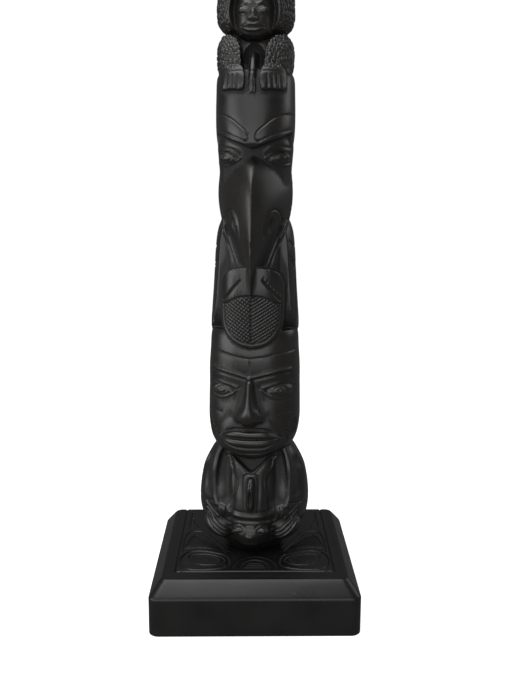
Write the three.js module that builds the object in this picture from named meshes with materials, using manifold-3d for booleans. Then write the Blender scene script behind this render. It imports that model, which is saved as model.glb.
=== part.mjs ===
// A souvenir totem pole of black cast resin on a square, chamfered base.
// From the foot up the pole shows a crouching being that holds a killer whale head down, its large
// face, a raven with folded wings and a hatched tail shield, and a small furred figure on the crown.
//
// Millimetres, +Z up, front towards -Y. The origin is at the centre of the base's underside.
// The pole is modelled about its own axis and then turned a little on the base.

import * as THREE from 'three';
import { mergeVertices } from 'three/addons/utils/BufferGeometryUtils.js';
import Module from 'manifold-3d';

const wasm = await Module();
wasm.setup();

// ---------------------------------------------------------------- driving dimensions

const baseSize = 101.6;
const baseWall = 19;             // height of the upright sides
const baseChamfer = 7.5;         // height of the sloping edge above them
const baseInset = 5.8;             // how far that edge slopes in
const baseCorner = 4.6;            // radius of the upright corners
const baseTop = baseWall + baseChamfer;
const seatGap = 0.3;             // glue line between the pole's foot and the base

const poleTurn = -5.5;           // degrees, the pole's twist on its base
const faceTurn = -2.8;           // the large face looks a little further to that side
const footZ = baseTop + seatGap;
const shoulderZ = 79;            // top of the crouching body, under the jaw
const chinZ = 77.5;
const faceTopZ = 142;            // where the large face meets the raven's wings
const browZ = 228.5;             // lowest point of the raven's forehead
const crownZ = 264;              // top of the raven's head, where the small figure squats
const headTopZ = 312;            // top of the small figure's furred hood

// Outline stations of each lofted mass: [z, half width, depth in front, depth behind].
const bodyStations = [
  [footZ, 13.5, 12, 13.5], [30, 16, 14, 15.5], [34, 19.6, 16.4, 18], [39, 23.6, 18.6, 20.4],
  [45, 27, 20, 22.4],
  [52, 28.2, 20.4, 23], [60, 27.8, 19.8, 22.5], [66, 26.9, 18.6, 21.5], [71, 25.6, 17.4, 20.5],
  [shoulderZ, 21.5, 15.5, 18.5], [85, 17, 13, 16],
];
const faceStations = [
  [chinZ, 8, 16.5, 8], [79.5, 13.5, 20, 12], [82.5, 18.8, 21.6, 16], [87, 21.6, 22, 18],
  [95, 23, 21.5, 18.5],
  [104, 23.1, 20.5, 18.5], [114, 22.9, 19.5, 18.5], [123, 22.8, 20.5, 18], [132, 22.2, 20.2, 17.5],
  [139, 21.8, 18.8, 17],
  [faceTopZ, 21, 17.5, 16.5],
];
const trunkStations = [[138, 17, 15.5, 16.5], [165, 16, 15, 16.5], [192, 15.5, 15, 16.5],
  [218, 16, 14, 16.5]];
const beakStations = [
  [158.6, 0.7, 25.2, -20], [162.5, 2.6, 26, -17], [167, 4.6, 26.7, -13], [173.5, 7.8, 27.4, -8],
  [181, 11.4, 28, -4],
  [188, 14.4, 28.2, 0], [195, 16.8, 27.9, 0], [202, 18.1, 27.1, 0], [208, 18.5, 25.8, 0],
  [214, 18.1, 23.6, 0],
  [219, 17.5, 20.4, 0], [223, 16.8, 17, 0], [226, 15.5, 14.5, 0],
];
const mandibleStations = [
  [164, 1.5, 20.5, -12], [168, 5.6, 21.2, -8], [174, 9.4, 21.6, -4], [182, 13.2, 21.6, 0],
  [190, 15.6, 21, 0],
  [196, 16.6, 19.5, 0],
];
const ravenStations = [
  [190, 15, 13, 16.5], [200, 16.6, 13, 17], [212, 17.4, 13.4, 17.2], [219, 17.6, 14.2, 17.3],
  [224, 18, 15, 17.4],
  [231, 18.3, 15.6, 17.4], [240, 16.4, 13.5, 15.4], [258, 15, 12, 14],
];
const foreheadStations = [
  [227.5, 16.9, 20.8, 15.5], [230, 18.1, 22.4, 17], [236, 18.9, 22.2, 17.8], [244, 19.1, 21.2, 18],
  [254, 18.9, 20, 17.8],
  [260.5, 18.6, 18.8, 17.4], [263, 17.7, 17.2, 16.6], [crownZ, 16.5, 16, 15.6],
];
const smallBodyStations = [
  [259, 15, 8, 14], [270, 15.5, 8.5, 14.5], [281, 12.5, 7, 13], [292, 13, 6, 12],
];
const legStations = [[260, 17.6, 17.2, 15], [268, 18, 17.2, 15.5], [275, 18, 15.8, 15.5],
  [281, 15.5, 12, 13]];
const pawStations = [[253, 19, 21.8, 0], [258, 19, 22, 0], [263, 18.6, 20.6, 0], [267, 17.6, 17.6, 0]];
const hoodStations = [
  [280.4, 11, 8, 11], [282.4, 15, 12, 14], [286, 17.6, 14.2, 15.4], [293, 18.2, 14.6, 15.6],
  [300, 17.4, 14.4, 15],
  [305.5, 14.4, 12.4, 13], [309.6, 9.4, 8.2, 9], [headTopZ, 3, 2.6, 3],
];
const smallHeadStations = [
  [276.3, 3.2, 12.5, 4], [278, 6.2, 15.2, 7], [281.5, 8.4, 16.4, 9], [288, 9.4, 16.2, 9],
  [295, 9.6, 15.4, 9],
  [301, 8.6, 13.4, 8],
];

// ---------------------------------------------------------------- shape helpers

// A closed three.js geometry as a solid that can be joined and cut.
function solidOf(geometry) {
  const bare = geometry.clone();
  bare.deleteAttribute('normal');
  bare.deleteAttribute('uv');
  const merged = mergeVertices(bare, 1e-4);
  const corners = merged.index.array;
  const kept = [];
  for (let i = 0; i < corners.length; i += 3) {
    const [a, b, c] = [corners[i], corners[i + 1], corners[i + 2]];
    if (a !== b && b !== c && c !== a) kept.push(a, b, c);
  }
  return new wasm.Manifold(new wasm.Mesh({
    numProp: 3,
    vertProperties: new Float32Array(merged.attributes.position.array),
    triVerts: new Uint32Array(kept),
  }));
}

function geometryOf(solid) {
  const mesh = solid.getMesh();
  const geometry = new THREE.BufferGeometry();
  geometry.setAttribute('position', new THREE.BufferAttribute(new Float32Array(mesh.vertProperties), 3));
  geometry.setIndex(Array.from(mesh.triVerts));
  return geometry;
}

function union(solids) {
  return solids.reduce((all, solid) => all.add(solid));
}

function cutAll(solid, cuts) {
  return cuts.reduce((rest, cut) => rest.subtract(cut), solid);
}

// The same shape on the other side of the plane x = 0, with its faces turned the right way round.
function mirrored(geometry) {
  const other = (geometry.index ? geometry.toNonIndexed() : geometry.clone()).scale(-1, 1, 1);
  const position = other.attributes.position;
  for (let i = 0; i < position.count; i += 3) {
    const [x, y, z] = [position.getX(i), position.getY(i), position.getZ(i)];
    position.setXYZ(i, position.getX(i + 2), position.getY(i + 2), position.getZ(i + 2));
    position.setXYZ(i + 2, x, y, z);
  }
  return other;
}

function pair(geometry) {
  return [solidOf(geometry), solidOf(mirrored(geometry))];
}

// Values of a station list at height z, joined by smooth steps between the stations.
function stationAt(stations, z) {
  const last = stations.length - 1;
  const height = THREE.MathUtils.clamp(z, stations[0][0], stations[last][0]);
  let i = 0;
  while (i < last - 1 && height > stations[i + 1][0]) i += 1;
  const [before, from, to, after] = [stations[Math.max(i - 1, 0)], stations[i], stations[i + 1],
    stations[Math.min(i + 2, last)]];
  const t = (height - from[0]) / (to[0] - from[0]);
  return from.map((value, k) => {
    const slopeIn = (to[k] - before[k]) / (to[0] - before[0]) * (to[0] - from[0]);
    const slopeOut = (after[k] - value) / (after[0] - from[0]) * (to[0] - from[0]);
    const rise = to[k] - value;
    const bend = 3 * rise - 2 * slopeIn - slopeOut;
    return value + t * (slopeIn + t * (bend + t * (slopeIn + slopeOut - 2 * rise)));
  });
}

// How far forward a mass reaches at (x, z): y of its front surface, power 2 being round and 1 a ridge.
function frontOf(stations, x, z, power = 2) {
  const [, halfWidth, front] = stationAt(stations, z);
  const across = Math.min(Math.abs(x) / halfWidth, 0.999);
  return -front * (1 - across ** power) ** (1 / power);
}

// A mass lofted through its stations, made by reshaping a turned cylinder ring by ring.
function loft(stations, { sides = 24, rings = stations.length, frontPower = 2, backPower = 2,
x = 0 } = {}) {
  const [bottom, top] = [stations[0][0], stations[stations.length - 1][0]];
  const profile = [new THREE.Vector2(0, bottom)];
  for (let i = 0; i < rings; i += 1) {
    const z = rings === stations.length ? stations[i][0] : bottom + (top - bottom) * i / (rings - 1);
    profile.push(new THREE.Vector2(1, z));
  }
  profile.push(new THREE.Vector2(0, top));
  const geometry = new THREE.LatheGeometry(profile, sides);
  geometry.rotateX(Math.PI / 2);
  const position = geometry.attributes.position;
  for (let i = 0; i < position.count; i += 1) {
    const [px, py, z] = [position.getX(i), position.getY(i), position.getZ(i)];
    const [, halfWidth, front, back] = stationAt(stations, z);
    if (Math.hypot(px, py) < 0.5) {
      position.setXYZ(i, x, (back - front) / 2, z);
    } else {
      const power = py < 0 ? frontPower : backPower;
      const shape = (value) => Math.sign(value) * Math.abs(value) ** (2 / power);
      const depth = py < 0 ? front : back;
      position.setXYZ(i, x + halfWidth * shape(px), depth * shape(py), z);
    }
  }
  return geometry;
}

// An ellipsoid at a place, turned by degrees about x, then y, then z.
function blob(place, radii, turn = [0, 0, 0], sides = 8, rows = 6) {
  const geometry = new THREE.SphereGeometry(1, sides, rows);
  geometry.rotateX(Math.PI / 2);
  geometry.scale(...radii);
  turn.forEach((angle, axis) => [geometry.rotateX, geometry.rotateY, geometry.rotateZ][axis]
    .call(geometry, THREE.MathUtils.degToRad(angle)));
  return geometry.translate(...place);
}

// A rod with a section of two half sizes that follows a smooth path.
function rod(points, halfAcross, halfDeep = halfAcross, { sides = 4, steps = 4 } = {}) {
  const path = new THREE.CatmullRomCurve3(points.map((point) => new THREE.Vector3(...point)),
    false, 'centripetal');
  const section = new THREE.Shape();
  for (let i = 0; i < sides; i += 1) {
    const angle = Math.PI / 4 + 2 * Math.PI * i / sides;
    const [across, deep] = [halfAcross * Math.cos(angle), halfDeep * Math.sin(angle)];
    if (i === 0) section.moveTo(across, deep);
    else section.lineTo(across, deep);
  }
  section.closePath();
  return new THREE.ExtrudeGeometry(section, { steps, extrudePath: path });
}

// A rod laid on the front of a lofted mass through (x, z) points, sunk or raised by lift.
function onFront(stations, points, half, { lift = 0, power = 2, sides = 4, steps = 4 } = {}) {
  return rod(points.map(([x, z]) => [x, frontOf(stations, x, z, power) - lift, z]),
    half, half, { sides, steps });
}

// How far out a mass reaches sideways at (y, z), and a rod laid there through such points.
function sideOf(stations, y, z, power = 2) {
  const [, halfWidth, front, back] = stationAt(stations, z);
  const along = Math.min(Math.abs(y) / (y < 0 ? front : back), 0.999);
  return halfWidth * (1 - along ** power) ** (1 / power);
}

function onSide(stations, points, half, { power = 2, sides = 4, steps = 4 } = {}) {
  return rod(points.map(([y, z]) => [sideOf(stations, y, z, power), y, z]), half, half, { sides, steps });
}

// A flat plate cut to an outline in x and z, from y = front back by its thickness, with rounded edges.
function plate(outline, front, thickness, edge = 0, curveSteps = 5) {
  const geometry = new THREE.ExtrudeGeometry(outline, {
    depth: thickness - 2 * edge, bevelEnabled: edge > 0, bevelSize: edge, bevelThickness: edge,
      bevelOffset: -edge,
    bevelSegments: 2, curveSegments: curveSteps,
  });
  return geometry.rotateX(Math.PI / 2).translate(0, front + thickness - edge, 0);
}

// A closed smooth outline through points, as a shape.
function smoothOutline(points, count = 24) {
  const curve = new THREE.CatmullRomCurve3(points.map(([x, z]) => new THREE.Vector3(x, z, 0)),
    true, 'centripetal');
  const outline = curve.getPoints(count).slice(0, -1).map((point) => new THREE.Vector2(point.x, point.y));
  return new THREE.Shape(outline);
}

// The outline of an open line of some width, drawn flat.
function bandOutline(points, width, count = 10) {
  const curve = new THREE.CatmullRomCurve3(points.map(([x, y]) => new THREE.Vector3(x, y, 0)),
    false, 'centripetal');
  const sides = [[], []];
  for (let i = 0; i <= count; i += 1) {
    const here = curve.getPoint(i / count);
    const along = curve.getTangent(i / count);
    const across = new THREE.Vector2(-along.y, along.x).multiplyScalar(width / 2);
    sides[0].push(new THREE.Vector2(here.x + across.x, here.y + across.y));
    sides[1].unshift(new THREE.Vector2(here.x - across.x, here.y - across.y));
  }
  return new THREE.Shape([...sides[0], ...sides[1]]);
}

// ---------------------------------------------------------------- base

function roundedSquare(size, radius) {
  const half = size / 2;
  const shape = new THREE.Shape();
  shape.moveTo(-half + radius, -half);
  shape.lineTo(half - radius, -half);
  shape.absarc(half - radius, -half + radius, radius, -Math.PI / 2, 0, false);
  shape.absarc(half - radius, half - radius, radius, 0, Math.PI / 2, false);
  shape.absarc(-half + radius, half - radius, radius, Math.PI / 2, Math.PI, false);
  shape.absarc(-half + radius, -half + radius, radius, Math.PI, Math.PI * 1.5, false);
  return shape;
}

// One storey of the base between two heights, its lower and upper sizes given.
function storey(bottom, top, sizeBelow, sizeAbove) {
  const geometry = new THREE.ExtrudeGeometry(roundedSquare(baseSize, baseCorner), {
    depth: top - bottom, bevelEnabled: false, curveSegments: 3,
  });
  const position = geometry.attributes.position;
  for (let i = 0; i < position.count; i += 1) {
    const scale = (position.getZ(i) < 1e-6 ? sizeBelow : sizeAbove) / baseSize;
    position.setXYZ(i, position.getX(i) * scale, position.getY(i) * scale, position.getZ(i) + bottom);
  }
  return solidOf(geometry);
}

const carveDepth = 0.9;          // how deep the lines in the base's top are cut
const borderSide = 38.7;            // the border line on the top, at the sides and in front
const borderFront = -36.3;

// A line of some width sunk into the base's top.
function sunkLine(points, width, count = 3) {
  const geometry = new THREE.ExtrudeGeometry(bandOutline(points, width, count), {
    depth: carveDepth + 1, bevelEnabled: false,
  });
  return geometry.translate(0, 0, baseTop - carveDepth);
}

// A rounded flat field sunk into the base's top: an ovoid, flat below and arched above.
function sunkOvoid(x, y, halfWide, halfDeep, depth = carveDepth) {
  const outline = smoothOutline([
    [x - halfWide, y - halfDeep * 0.6], [x - halfWide * 0.7, y - halfDeep],
    [x + halfWide * 0.7, y - halfDeep],
    [x + halfWide, y - halfDeep * 0.6], [x + halfWide * 0.8, y + halfDeep * 0.6], [x, y + halfDeep],
    [x - halfWide * 0.8, y + halfDeep * 0.6],
  ], 12);
  const geometry = new THREE.ExtrudeGeometry(outline, { depth: depth + 1, bevelEnabled: false });
  return geometry.translate(0, 0, baseTop - depth);
}

function makeBase() {
  const foot = storey(0, 0.7, baseSize - 1.4, baseSize);
  const wall = storey(0.7, baseWall, baseSize, baseSize);
  const slope = storey(baseWall, baseTop, baseSize, baseSize - 2 * baseInset);
  let base = union([foot, wall, slope]);

  const cuts = [];
  // A border line along the front and both sides, open at the back.
  const [outer, inner] = [borderSide + 0.5, borderSide - 0.5];
  const rear = baseSize / 2;
  const border = new THREE.Shape([[-outer, rear], [-outer, borderFront - 0.5], [outer, borderFront - 0.5],
    [outer, rear], [inner, rear], [inner, borderFront + 0.5], [-inner, borderFront + 0.5], [-inner, rear]]
    .map(([x, y]) => new THREE.Vector2(x, y)));
  cuts.push(solidOf(new THREE.ExtrudeGeometry(border, { depth: carveDepth + 1, bevelEnabled: false })
    .translate(0, 0, baseTop - carveDepth)));
  for (const side of [1, -1]) {
    const line = (points, count = 10) => {
      cuts.push(solidOf(sunkLine(points.map(([x, y]) => [side * x, y]), 1, count)));
    };
    const eye = (x, y, halfWidth, halfDepth) => {
      const field = solidOf(sunkOvoid(side * x, y, halfWidth, halfDepth));
      cuts.push(field.subtract(solidOf(sunkOvoid(side * x, y, halfWidth - 1, halfDepth - 1,
        carveDepth + 1))));
    };
    // A large ovoid eye in each front corner.
    eye(25, -24, 12, 10.2);
    eye(24.6, -23.2, 8.2, 5.8);
    // Bands that lead from the eye past the pole, then split shapes behind.
    line([[13.5, -12.5], [22, -9.6], [35, -8.8]], 5);
    line([[36.8, -13], [36.9, 1], [35.4, 10.4], [29, 12.2]]);
    line([[35.4, -5.6], [34, 2.8], [31.6, 6.8]], 5);
    line([[26, 5.6], [21, -3], [16.6, -10.4]], 5);
    line([[35.3, 40], [35.5, 18.5]], 1);
    line([[34.2, 31], [33, 24], [30.6, 18]], 4);
  }
  // Two arches in the middle of the front, and of the back.
  for (const reach of [11, 7]) {
    const top = -30.6 + reach;
    for (const end of [1, -1]) {
      const arch = [[-reach, -32.5], [-reach * 0.72, top - reach * 0.45], [0, top],
        [reach * 0.72, top - reach * 0.45], [reach, -32.5]];
      cuts.push(solidOf(sunkLine(arch.map(([x, y]) => [x, end * y]), 1, 10)));
    }
  }
  base = cutAll(base, cuts);
  return base;
}

// ---------------------------------------------------------------- crouching body and whale

const whaleBackStations = [
  [42, 14, 24.4, 0], [50, 14, 24.8, 0], [58, 13.6, 24.2, 0], [66, 13.6, 22.6, 0], [74, 15, 21.6, 0],
  [82, 16, 21.4, 0],
];
const whaleHeadStations = [
  [31.6, 4, 18, 0], [33.6, 8.6, 22.8, 0], [38, 10.8, 25.6, 0], [42, 11.2, 25.8, 0], [45, 10.9, 24.6, 0],
  [46.6, 10.4, 22.8, 0],
];
const finStations = [
  [52.6, 2, 25, 0], [54, 2.8, 27.8, 0], [62, 2.8, 28.6, 0], [67, 2.5, 27.8, 0], [69.6, 1.8, 24.5, 0],
];

function makeBody() {
  const trunk = solidOf(loft(bodyStations, { sides: 20, frontPower: 2.3, backPower: 2.4 }));
  // Bent legs: a shin ridge up each side, hollow on both sides of it.
  const hollows = [
    ...pair(blob([12.6, -19, 66.5], [4.6, 4.7, 13.5], [0, 5, 24], 10, 7)),
    ...pair(blob([23.6, -14, 67], [2.6, 4.2, 10], [0, -6, 28])),
  ];
  const shin = rod([[14.6, -9, 85], [18, -13.2, 74], [18.6, -14, 66], [18.4, -14.8, 58],
    [17, -16.2, 52.5]], 2.6);
  // Hands that clasp the whale, and feet whose toes turn up at the outer side.
  const hand = blob([14.6, -16.2, 53.4], [4, 3.8, 6.6], [0, -10, 24]);
  const foot = blob([17, -13.8, 41.2], [8.8, 6.4, 5.4], [0, -26, 30], 10, 6);
  const body = union([cutAll(trunk, hollows), ...[shin, hand, foot].flatMap((part) => pair(part))]);

  const grooves = [];
  for (const step of [0, 1]) {
    const finger = 13.2 + 2.6 * step;
    grooves.push(...pair(rod([[finger, -21.9 + step, 57], [finger - 1, -22.1 + step, 49]], 0.6, 0.9,
      { sides: 3, steps: 1 })));
    const toe = 3 * step;
    grooves.push(...pair(rod([[11, -22.8, 37 + toe], [17, -21.8, 39.6 + toe], [22.4, -17.2, 44 + toe]],
      0.6, 0.9,
      { sides: 3, steps: 2 })));
  }

  // The whale hangs head down between the hands: flukes at the jaw, a tall fin, broad head at the foot.
  const outline = bothSides([[0, 71.6], [4, 74.4], [9, 78.6], [12.8, 80], [11.8, 75], [8.6, 70.6],
    [7.4, 66.6],
    [8.6, 60], [10.6, 54], [11.5, 48], [11.4, 44], [0, 43]]);
  const back = solidOf(loft(whaleBackStations, { sides: 16, frontPower: 2.6 }));
  const whale = [solidOf(prismXZ(outline, -32, -9, 24)).intersect(back)];
  whale.push(solidOf(loft(whaleHeadStations, { sides: 16, frontPower: 2.5 })));
  whale.push(solidOf(loft(finStations, { sides: 8, frontPower: 3 })));
  whale.push(...pair(blob([6.4, -22.8, 41.8], [3.2, 2.1, 2.1], [0, 14, 16], 8, 6)));
  whale.push(solidOf(blob([0, -25.1, 39.4], [2.6, 1.9, 2], [0, 0, 0], 8, 6)));
  const whaleCuts = [
    solidOf(onFront(whaleHeadStations, [[-9.6, 36.4], [-5, 35.4], [5, 35.4], [9.6, 36.4]], 0.9,
      { power: 2.5, lift: 0.1, steps: 4 })),
    solidOf(blob([0, -30, 59.6], [1.5, 2.6, 5], [0, 0, 0], 8, 6)),
  ];
  return union([cutAll(body, grooves), cutAll(union(whale), whaleCuts)]);
}

// ---------------------------------------------------------------- large face

const noseStations = [
  [95.4, 9, 22.4, 0], [97, 12.4, 25.2, 0], [99.5, 13.4, 26.7, 0], [102.5, 11, 26.9, 0],
  [105.5, 7.4, 26.3, 0], [110, 5.6, 24.8, 0], [115, 5, 23, 0], [120, 6, 21, 0],
];

function makeFace() {
  const face = solidOf(loft(faceStations, { sides: 18, frontPower: 2.3, backPower: 2.4 }));
  const sockets = [
    ...pair(blob([13.4, -20.6, 113], [8.8, 5.2, 5], [0, -4, 24], 10, 7)),
    // Hollow between the brow and the forehead, and the open mouth.
    ...pair(blob([10, -23, 121.4], [10.5, 2.6, 1.5], [0, -9, 22])),
    solidOf(blob([0, -24.4, 89.7], [12.4, 5.4, 1.3], [0, 0, 0], 10, 6)),
    // The groove under the lower lip.
    solidOf(onFront(faceStations, [[-15, 84], [-8, 81.6], [0, 81], [8, 81.6], [15, 84]],
      0.8, { power: 2.3, steps: 6 })),
  ];
  const solids = [cutAll(face, sockets)];
  solids.push(solidOf(loft(noseStations, { sides: 16, frontPower: 1.8 })));
  const front = (points, half, lift, options = {}) => onFront(faceStations, points, half,
    { power: 2.3, lift, ...options });
  const pieces = [
    // Brow, and an eyeball with a leaf-shaped lid above and below it.
    front([[0.2, 119.4], [8, 122], [14, 123.6], [19.5, 124.4]], 1.1, 0.4, { steps: 3 }),
    blob([13.8, -14.6, 113.2], [7.4, 4.2, 4], [0, -5, 30], 10, 7),
    front([[6, 114.2], [12, 117], [20, 117.4]], 0.8, 0.3, { steps: 3 }),
    front([[6, 113.8], [10, 109.6], [15.6, 109.2], [20.4, 116]], 0.8, 0.3, { steps: 4 }),
  ];
  for (const piece of pieces) solids.push(...pair(piece));
  // Wide, full lips that meet at the corners.
  const lip = (rise, half) => solidOf(rod([[-14.4, -17.6, 89.6], [-8.6, -22, 89.6 + rise * 0.9],
    [0, -23.6, 89.6 + rise], [8.6, -22, 89.6 + rise * 0.9], [14.4, -17.6, 89.6]],
    half, half, { steps: 6 }));
  solids.push(lip(1.7, 2.1), lip(-2.2, 2.6));
  const lines = [
    solidOf(front([[-19.5, 133.2], [-13, 131.8], [-7, 130], [0, 128.7], [7, 130], [13, 131.8],
      [19.5, 133.2]], 0.7, 0, { steps: 6 })),
  ];
  return cutAll(union(solids), lines);
}

// ---------------------------------------------------------------- raven

const sleeveStations = [
  [139, 19.6, 17, 17.5], [140.6, 21.6, 19, 18], [145, 22, 19, 18], [153, 21.5, 18.6, 18],
  [161, 20.9, 18.2, 17.5],
  [169, 20.4, 17.8, 17.5], [181, 19.7, 17.2, 17.5], [190, 18.6, 16, 17], [196, 16.5, 14, 16],
];
const shieldStations = [
  [132, 17.5, 20.6, 0], [136, 17.5, 21.8, 0], [146, 17.5, 22.6, 0], [158, 17.5, 23, 0],
  [175, 17.5, 22.6, 0],
];

// A deep prism of an outline in x and z, to be met with a rounded mass.
function prismXZ(points, front, back, count = 26) {
  const geometry = new THREE.ExtrudeGeometry(smoothOutline(points, count),
    { depth: back - front, bevelEnabled: false });
  return geometry.rotateX(Math.PI / 2).translate(0, back, 0);
}

// The same for an outline in y and z, standing out to +x.
function prismYZ(points, near, far, count = 26) {
  const geometry = new THREE.ExtrudeGeometry(smoothOutline(points, count),
    { depth: far - near, bevelEnabled: false });
  const position = geometry.attributes.position;
  for (let i = 0; i < position.count; i += 1) {
    position.setXYZ(i, position.getZ(i) + near, position.getX(i), position.getY(i));
  }
  return geometry;
}

function bothSides(points) {
  return [...points, ...points.filter(([x]) => x > 0).reverse().map(([x, z]) => [-x, z])];
}

function makeTail() {
  const outline = bothSides([[0, 134], [4.4, 134.9], [9, 137.3], [12.8, 141], [15, 146], [15.5, 153],
    [15.5, 161],
    [15.2, 166], [12.4, 170.6], [7, 172.6]]);
  const body = solidOf(loft(shieldStations, { sides: 16, frontPower: 2.8 }));
  const shield = solidOf(prismXZ(outline, -30, -8, 22)).intersect(body);
  const front = (points, half, lift, steps = 2) => onFront(shieldStations, points, half, { power: 2.8,
    lift, steps });
  const lines = [];
  // A rim inside the edge, the slanting feather tops and the arc over the hatched field.
  lines.push(...pair(front([[0.1, 136.6], [7.4, 139], [11.6, 143.2], [13.2, 148], [13.5, 156]],
  0.55, 0, 4)));
  lines.push(...pair(front([[4.6, 167.6], [13.6, 157.2]], 0.6, 0, 2)));
  lines.push(solidOf(front([[-13, 155], [-7, 158.2], [0, 159.4], [7, 158.2], [13, 155]], 0.55, 0, 4)));
  lines.push(solidOf(front([[0, 137.5], [0, 158.8]], 0.5, 0, 1)));
  for (let i = 0; i < 4; i += 1) {
    const z = 140.6 + 4.4 * i;
    const reach = Math.min(12.6, 7 + 3.2 * i);
    lines.push(...pair(front([[0.5, z], [reach, z + reach * 0.42]], 0.45, 0, 1)));
  }
  return cutAll(shield, lines);
}

function makeWings() {
  const sleeve = solidOf(loft(sleeveStations, { sides: 18, frontPower: 2, backPower: 2.4 }));
  const outline = [[-8.6, 193], [-9.4, 182], [-9.4, 165], [-8.8, 150], [-6, 142.6], [-1, 140],
    [4, 142.6], [8, 149],
    [11, 158], [12.6, 172], [11.4, 185], [5, 193.6], [-3, 195]];
  const wing = prismYZ(outline, 9, 26, 18);
  const lines = [];
  // Long flight feathers, then a rounded shoulder line above them.
  for (let i = 0; i < 3; i += 1) {
    const y = -4 + 4.6 * i;
    lines.push(onSide(sleeveStations, [[y + 1.4, 171], [y + 0.5, 159], [y - 1, 149 + 1.6 * i],
      [y - 2.4, 145 + 2.4 * i]],
      0.7, { steps: 2 }));
  }
  lines.push(onSide(sleeveStations, [[-7.6, 177.4], [-2.5, 174], [3, 174.6], [10, 179]],
    0.7, { steps: 4 }));
  const wings = [wing, mirrored(wing)].map((geometry) => solidOf(geometry).intersect(sleeve));
  return cutAll(union(wings), lines.flatMap((line) => pair(line)));
}

function makeRaven() {
  const trunk = solidOf(loft(trunkStations, { sides: 18, frontPower: 2.2, backPower: 2.6 }));
  const head = solidOf(loft(ravenStations, { sides: 18, frontPower: 2.2, backPower: 2.4 }));
  const mandible = solidOf(loft(mandibleStations, { sides: 16, frontPower: 1.35 }));
  const beak = solidOf(loft(beakStations, { sides: 18, frontPower: 1.28 }));
  const forehead = solidOf(loft(foreheadStations, { sides: 18, frontPower: 2.2 }));

  // The forehead ends below in a blunt point between the eyes, rising to both sides.
  const below = new THREE.Shape([[-30, 239.4], [0, 228.4], [30, 239.4], [30, 215], [-30, 215]]
    .map(([x, z]) => new THREE.Vector2(x, z)));
  const wedge = solidOf(plate(below, -40, 33.3));
  const front = (points, half, lift, options = {}) => onFront(foreheadStations, points, half,
    { power: 2.2, lift, ...options });
  const brow = cutAll(forehead, [wedge,
    ...pair(front([[0.4, 233.6], [3.4, 236.4], [6, 238.8], [10, 241.6], [15, 243.6], [18.4, 244.4]],
    0.65, 0,
      { steps: 5 })),
  ]);
  const eyes = pair(blob([12, -9.6, 224.2], [6, 4, 3], [0, -6, 40]));
  const sockets = pair(blob([14.4, -14.6, 224.2], [7.6, 5.4, 4.6], [0, -6, 40]));
  const beakCuts = [
    // Nostril arches, and the seam along the beak's edge.
    ...pair(onFront(beakStations, [[12.4, 188], [13.6, 195.4], [10.6, 200], [7.2, 197], [6, 191.4]], 0.6,
      { power: 1.28, steps: 6 })),
    ...pair(blob([9.8, -17.6, 192.4], [2.4, 2.2, 4.6], [0, 0, 52], 8, 6)),
    ...pair(onFront(beakStations, [[15.2, 196.4], [12.2, 188], [5.8, 172.4]],
    0.6, { power: 1.28, steps: 2 })),
  ];
  const beakWhole = cutAll(beak, beakCuts);
  const skull = union([cutAll(head, sockets), ...eyes]);
  return union([trunk, skull, brow, mandible, beakWhole, makeTail(), makeWings()]);
}

// ---------------------------------------------------------------- small furred figure

function makeSmallFigure() {
  const body = solidOf(loft(smallBodyStations, { sides: 18, frontPower: 2.2, backPower: 2.4 }));
  const head = solidOf(loft(smallHeadStations, { sides: 16, frontPower: 2.3 }));
  const hood = solidOf(loft(hoodStations, { sides: 18, frontPower: 2.5, backPower: 2.3 }));
  const solids = [body, hood.subtract(solidOf(blob([0, -17, 289.4], [11.4, 13, 15], [0, 0, 0], 12, 8)))];
  // Bent, furred legs on both sides of the hollow under the chin.
  const leg = [[6.4, 262], [5.6, 269], [7, 275.6], [10.6, 279.6], [14.6, 279.8], [17.4, 277],
    [18.2, 271], [17.4, 265],
    [16, 262]];
  const legMass = solidOf(loft(legStations, { sides: 18, frontPower: 2.6 }));
  for (const prism of pair(prismXZ(leg, -30, 14, 16))) solids.push(prism.intersect(legMass));
  const paw = new THREE.Shape([[4.2, 254.6], [14.6, 254.6], [15.4, 258], [14.6, 263.4], [11, 265.6],
    [6, 265.6],
    [3.8, 262]].map(([x, z]) => new THREE.Vector2(x, z)));
  const pawMass = solidOf(loft(pawStations, { sides: 16, frontPower: 2.4 }));
  for (const prism of pair(plate(paw, -30, 20))) solids.push(prism.intersect(pawMass));
  solids.push(solidOf(loft([[253.4, 3, 20.6, 0], [256, 2.3, 21, 0], [262, 2.1, 20.4, 0],
    [268, 2.1, 18, 0],
    [272, 1.6, 14, 0]], { sides: 12, frontPower: 3 })));

  const cuts = [];
  for (const x of [7.8, 11.4]) {
    cuts.push(...pair(onFront(pawStations, [[x, 253.8], [x, 262.6]],
      0.8, { power: 2.4, sides: 3, steps: 2 })));
  }
  // The deep hollow under the chin.
  cuts.push(solidOf(blob([0, -13.5, 273], [5.4, 7.6, 5.4], [0, 0, 0], 8, 6)));
  const faceParts = [
    ...pair(blob([4.5, -14.4, 289.4], [2.9, 2.2, 1.7], [0, -6, 14])),
    ...pair(onFront(smallHeadStations, [[1, 291.6], [4, 292.6], [8.2, 291]],
    0.8, { power: 2.3, lift: -0.2 })),
    solidOf(blob([0, -16.6, 287], [1.7, 2, 3.4], [0, 0, 0])),
    solidOf(onFront(smallHeadStations, [[-4.9, 281.8], [-2, 283], [0, 282.7], [2, 283], [4.9, 281.8]],
    0.7,
      { power: 2.3, lift: -0.1 })),
    solidOf(onFront(smallHeadStations, [[-4.9, 281.6], [-2, 280.1], [0, 279.9], [2, 280.1],
    [4.9, 281.6]], 0.8,
      { power: 2.3, lift: -0.1 })),
  ];
  const faceCuts = pair(blob([4.6, -17, 289.4], [3.6, 1.8, 2.4], [0, -6, 14]));
  return union([cutAll(union(solids), cuts), cutAll(head, faceCuts), ...faceParts]);
}

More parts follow.
